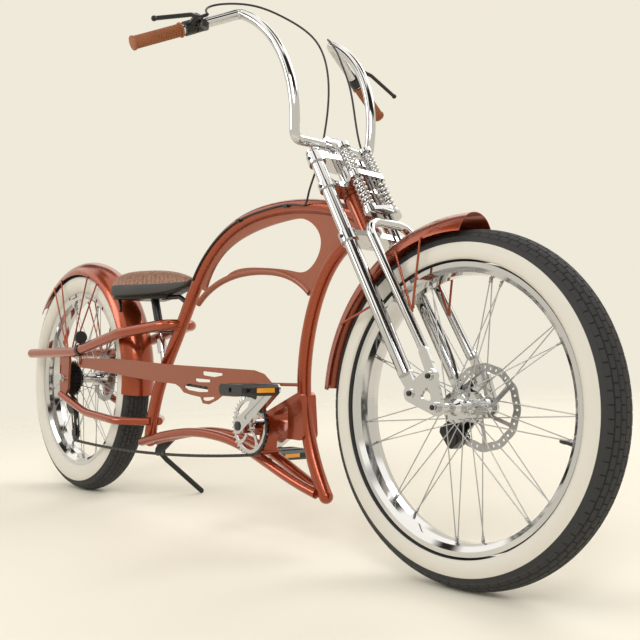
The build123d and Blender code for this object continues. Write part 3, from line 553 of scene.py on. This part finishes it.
def makeRotor(which, space, hub, body, finishes):
    outer = rotorShape[which]
    inner = outer - rotorShape["ring"]
    bm = bmesh.new()
    addRotorRing(bm, inner, outer)
    addRotorArms(bm, inner)
    addRotorSpider(bm)
    bmesh.ops.recalc_face_normals(bm, faces=bm.faces)
    upright = Matrix.Rotation(math.radians(90), 4, "X")
    place = Matrix.Translation(hub + Vector((0, rotorShape["side"], 0)))
    bmesh.ops.transform(bm, matrix=place @ upright, verts=bm.verts)
    piece = finishPiece(which + "Rotor", bm, space, body, [finishes["steel"]], False)
    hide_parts(which + "_rotor")


valve = {
    "angle": -12.0, "from": 0.2625, "length": 0.036, "radius": 0.0034, "sides": 16,
    "cap": 0.0042, "capLength": 0.012, "capOver": 0.010, "capRounding": 0.001,
}


def makeValve(name, space, hub, body, finishes):
    angle = math.radians(valve["angle"])
    out = Vector((math.cos(angle), 0, math.sin(angle)))
    capPlace = hub + out * (valve["from"] - valve["length"] + valve["capOver"])
    bm = bmesh.new()
    addRound(bm, hub + out * valve["from"], -out, valve["radius"], valve["length"], valve["sides"])
    addRound(bm, capPlace, -out, valve["cap"], valve["capLength"], valve["sides"], valve["capRounding"])
    markSharp(finishPiece(name, bm, space, body, [finishes["blackPlastic"]]))


axleNuts = {
    "x": 0.0, "z": 0.0, "side": 0.092, "radius": 0.0075, "height": 0.006, "sides": 6, "rounding": 0.0006,
}
dustCaps = {
    "x": 1.034, "z": -0.079, "side": 0.096, "radius": 0.0115, "height": 0.0025,
    "sides": 32, "rounding": 0.0006,
}
crownBolts = {
    # down the fork's axis, and how far out the heads start
    "downs": (0.0112, 0.092, 0.229), "side": 0.0945,
    "radius": 0.0042, "height": 0.004, "sides": 12, "rounding": 0.0008,
}
pivotBolts = {
    # down the fork's axis, ahead of it, and how far out the head starts
    "rows": [(0.6154, 0.0017, 0.092), (0.6098, 0.0606, 0.092), (0.6708, 0.0461, 0.098)],
    "radius": 0.0055, "height": 0.003, "sides": 12, "rounding": 0.0008,
}


def addBolt(bm, place, side, values):
    # side is -1 on the right and 1 on the left, and the head points that way
    addRound(
        bm, place, (0, side, 0), values["radius"], values["height"], values["sides"], values["rounding"]
    )


def makePair(name, values, space, body, material):
    bm = bmesh.new()
    for side in (-1, 1):
        addBolt(bm, (values["x"], side * values["side"], values["z"]), side, values)
    markSharp(finishPiece(name, bm, space, body, [material]))


def makeBolts(frameSpace, forkSpace, finishes):
    makePair("frameBolts", axleNuts, frameSpace, "frame", finishes["chrome"])
    makePair("cranksBolts", dustCaps, frameSpace, "cranks", finishes["blackPlastic"])
    bm = bmesh.new()
    for down in crownBolts["downs"]:
        for side in (-1, 1):
            addBolt(bm, onSteer(down, 0.0, side * crownBolts["side"]), side, crownBolts)
    for side in (-1, 1):
        for down, ahead, outer in pivotBolts["rows"]:
            addBolt(bm, onSteer(down, ahead, side * outer), side, pivotBolts)
    covers = [finishes["blackMetal"]]
    markSharp(finishPiece("forkBolts", bm, forkSpace, "steering", covers))


rearLens = {
    "place": (0.1004, -0.081, 0.136), "way": (-1, 0, 0), "radius": 0.0175, "thick": 0.0022,
    "sides": 40, "rounding": 0.0008,
}


def makeReflector(frameSpace, finishes):
    bm = bmesh.new()
    addRound(
        bm, rearLens["place"], rearLens["way"], rearLens["radius"], rearLens["thick"],
        rearLens["sides"], rearLens["rounding"],
    )
    markSharp(finishPiece("rearLens", bm, frameSpace, "frame", [finishes["redLens"]]))


studio = {
    "floor": (0.84, 0.80, 0.70), "floorRoughness": 0.9, "floorSize": 5,
    "cream": (0.87, 0.82, 0.70), "dark": (0.03, 0.025, 0.02), "bright": (1.5, 1.45, 1.35),
    # the floor fades out between these distances, and the cream of the walls ends at this height
    "fade": (1.5, 3.6), "wall": (0.40, 0.46), "clouds": 2.1, "cloudEdge": (0.45, 0.55),
    # place, size and power of each lamp, and the place that they all face
    "lamps": [((3.5, -2.5, 3.6), 1.6, 60), ((-2.5, -4.0, 3.0), 2.0, 55), ((0.5, 3.5, 3.5), 2.0, 45)],
    "lampTarget": (0, 0, 0.5),
}


def makeFloor(scene):
    material = makeMaterial("floor", studio["floor"], 0.0, studio["floorRoughness"], 0.0)
    tree = material.node_tree
    where = addNode(tree, "ShaderNodeTexCoord")
    reach = addNode(tree, "ShaderNodeVectorMath", "LENGTH")
    fade = addNode(tree, "ShaderNodeMapRange")
    fade.interpolation_type = "SMOOTHSTEP"
    fade.inputs["From Min"].default_value, fade.inputs["From Max"].default_value = studio["fade"]
    clear = addNode(tree, "ShaderNodeBsdfTransparent")
    mix = addNode(tree, "ShaderNodeMixShader")
    tree.links.new(where.outputs["Object"], reach.inputs[0])
    tree.links.new(reach.outputs["Value"], fade.inputs["Value"])
    tree.links.new(fade.outputs["Result"], mix.inputs["Fac"])
    tree.links.new(tree.nodes["Principled BSDF"].outputs["BSDF"], mix.inputs[1])
    tree.links.new(clear.outputs["BSDF"], mix.inputs[2])
    tree.links.new(mix.outputs["Shader"], tree.nodes["Material Output"].inputs["Surface"])
    bm = bmesh.new()
    bmesh.ops.create_grid(bm, x_segments=1, y_segments=1, size=studio["floorSize"])
    mesh = bpy.data.meshes.new("floor")
    bm.to_mesh(mesh)
    bm.free()
    mesh.materials.append(material)
    floor = bpy.data.objects.new("floor", mesh)
    scene.collection.objects.link(floor)


def makeWorld(scene):
    # cream walls, and above them dark and bright fields for the chrome to show
    world = bpy.data.worlds.new("studio")
    scene.world = world
    world.use_nodes = True
    tree = world.node_tree
    where = addNode(tree, "ShaderNodeTexCoord")
    parts = addNode(tree, "ShaderNodeSeparateXYZ")
    height = addNode(tree, "ShaderNodeMapRange")
    height.inputs["From Min"].default_value, height.inputs["From Max"].default_value = studio["wall"]
    clouds = addNode(tree, "ShaderNodeTexNoise")
    clouds.inputs["Scale"].default_value = studio["clouds"]
    clouds.inputs["Detail"].default_value = 0.0
    ramp = addRamp(tree, studio["dark"], studio["bright"], *studio["cloudEdge"])
    mix = addNode(tree, "ShaderNodeMix")
    mix.data_type = "RGBA"
    low, high = [socket for socket in mix.inputs if socket.type == "RGBA"]
    result = [socket for socket in mix.outputs if socket.type == "RGBA"][0]
    low.default_value = (*studio["cream"], 1)
    tree.links.new(where.outputs["Generated"], parts.inputs[0])
    tree.links.new(parts.outputs["Z"], height.inputs["Value"])
    tree.links.new(where.outputs["Generated"], clouds.inputs["Vector"])
    tree.links.new(clouds.outputs["Fac"], ramp.inputs["Fac"])
    tree.links.new(height.outputs["Result"], mix.inputs[0])
    tree.links.new(ramp.outputs["Color"], high)
    tree.links.new(result, tree.nodes["Background"].inputs["Color"])


def makeLamps(scene):
    target = Vector(studio["lampTarget"])
    for place, size, power in studio["lamps"]:
        light = bpy.data.lights.new("soft", "AREA")
        light.size = size
        light.energy = power
        lamp = bpy.data.objects.new("soft", light)
        lamp.location = place
        lamp.rotation_euler = (target - Vector(place)).to_track_quat("-Z", "Y").to_euler()
        scene.collection.objects.link(lamp)


# place and directions in the bicycle's own space, lens and sensor in millimetres
view = {
    "place": (2.923, -1.387, 0.116), "ahead": (-0.7736, 0.6330, 0.0296), "up": (0.0123, -0.0316, 0.9994),
    "lens": 52.3, "sensor": 36,
}


def makeCamera(scene, frameSpace):
    camera = bpy.data.objects.new("camera", bpy.data.cameras.new("camera"))
    scene.collection.objects.link(camera)
    turn = frameSpace.to_3x3()
    ahead = (turn @ Vector(view["ahead"])).normalized()
    up = (turn @ Vector(view["up"])).normalized()
    right = ahead.cross(up).normalized()
    facing = Matrix((right, right.cross(ahead), -ahead)).transposed().to_4x4()
    camera.matrix_world = Matrix.Translation(frameSpace @ Vector(view["place"])) @ facing
    camera.data.lens = view["lens"]
    camera.data.sensor_width = view["sensor"]
    scene.camera = camera
    scene.view_settings.view_transform = "Standard"


def main():
    scene = bpy.context.scene
    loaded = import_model()
    finishes = makeFinishes()
    paintNodes(loaded, finishes)
    print("nodes painted")

    joints = {joint["name"]: joint for joint in loaded["joints"]}
    frameSpace, forkSpace = makeSpaces(joints)
    rearWheel = (frameSpace, rearHub, "rear_wheel", finishes)
    frontWheel = (forkSpace, frontHub, "front_wheel", finishes)
    makeTyre("rear", *rearWheel)
    makeTyre("front", *frontWheel)
    print("tyres made")
    makeNipples("rearNipples", *rearWheel)
    makeNipples("frontNipples", *frontWheel)
    print("spoke ends made")
    makeRotor("rear", *rearWheel)
    makeRotor("front", *frontWheel)
    makeValve("rearValve", *rearWheel)
    makeValve("frontValve", *frontWheel)
    print("rotors and valves made")
    makeSaddle(frameSpace, finishes)
    print("saddle made")
    makeGrips(forkSpace, finishes)
    print("grips made")
    makeLenses(frameSpace, joints, finishes)
    makeReflector(frameSpace, finishes)
    makeBolts(frameSpace, forkSpace, finishes)
    print("small parts made")
    makeFloor(scene)
    makeWorld(scene)
    makeLamps(scene)
    makeCamera(scene, frameSpace)
    print("stage ready")


main()
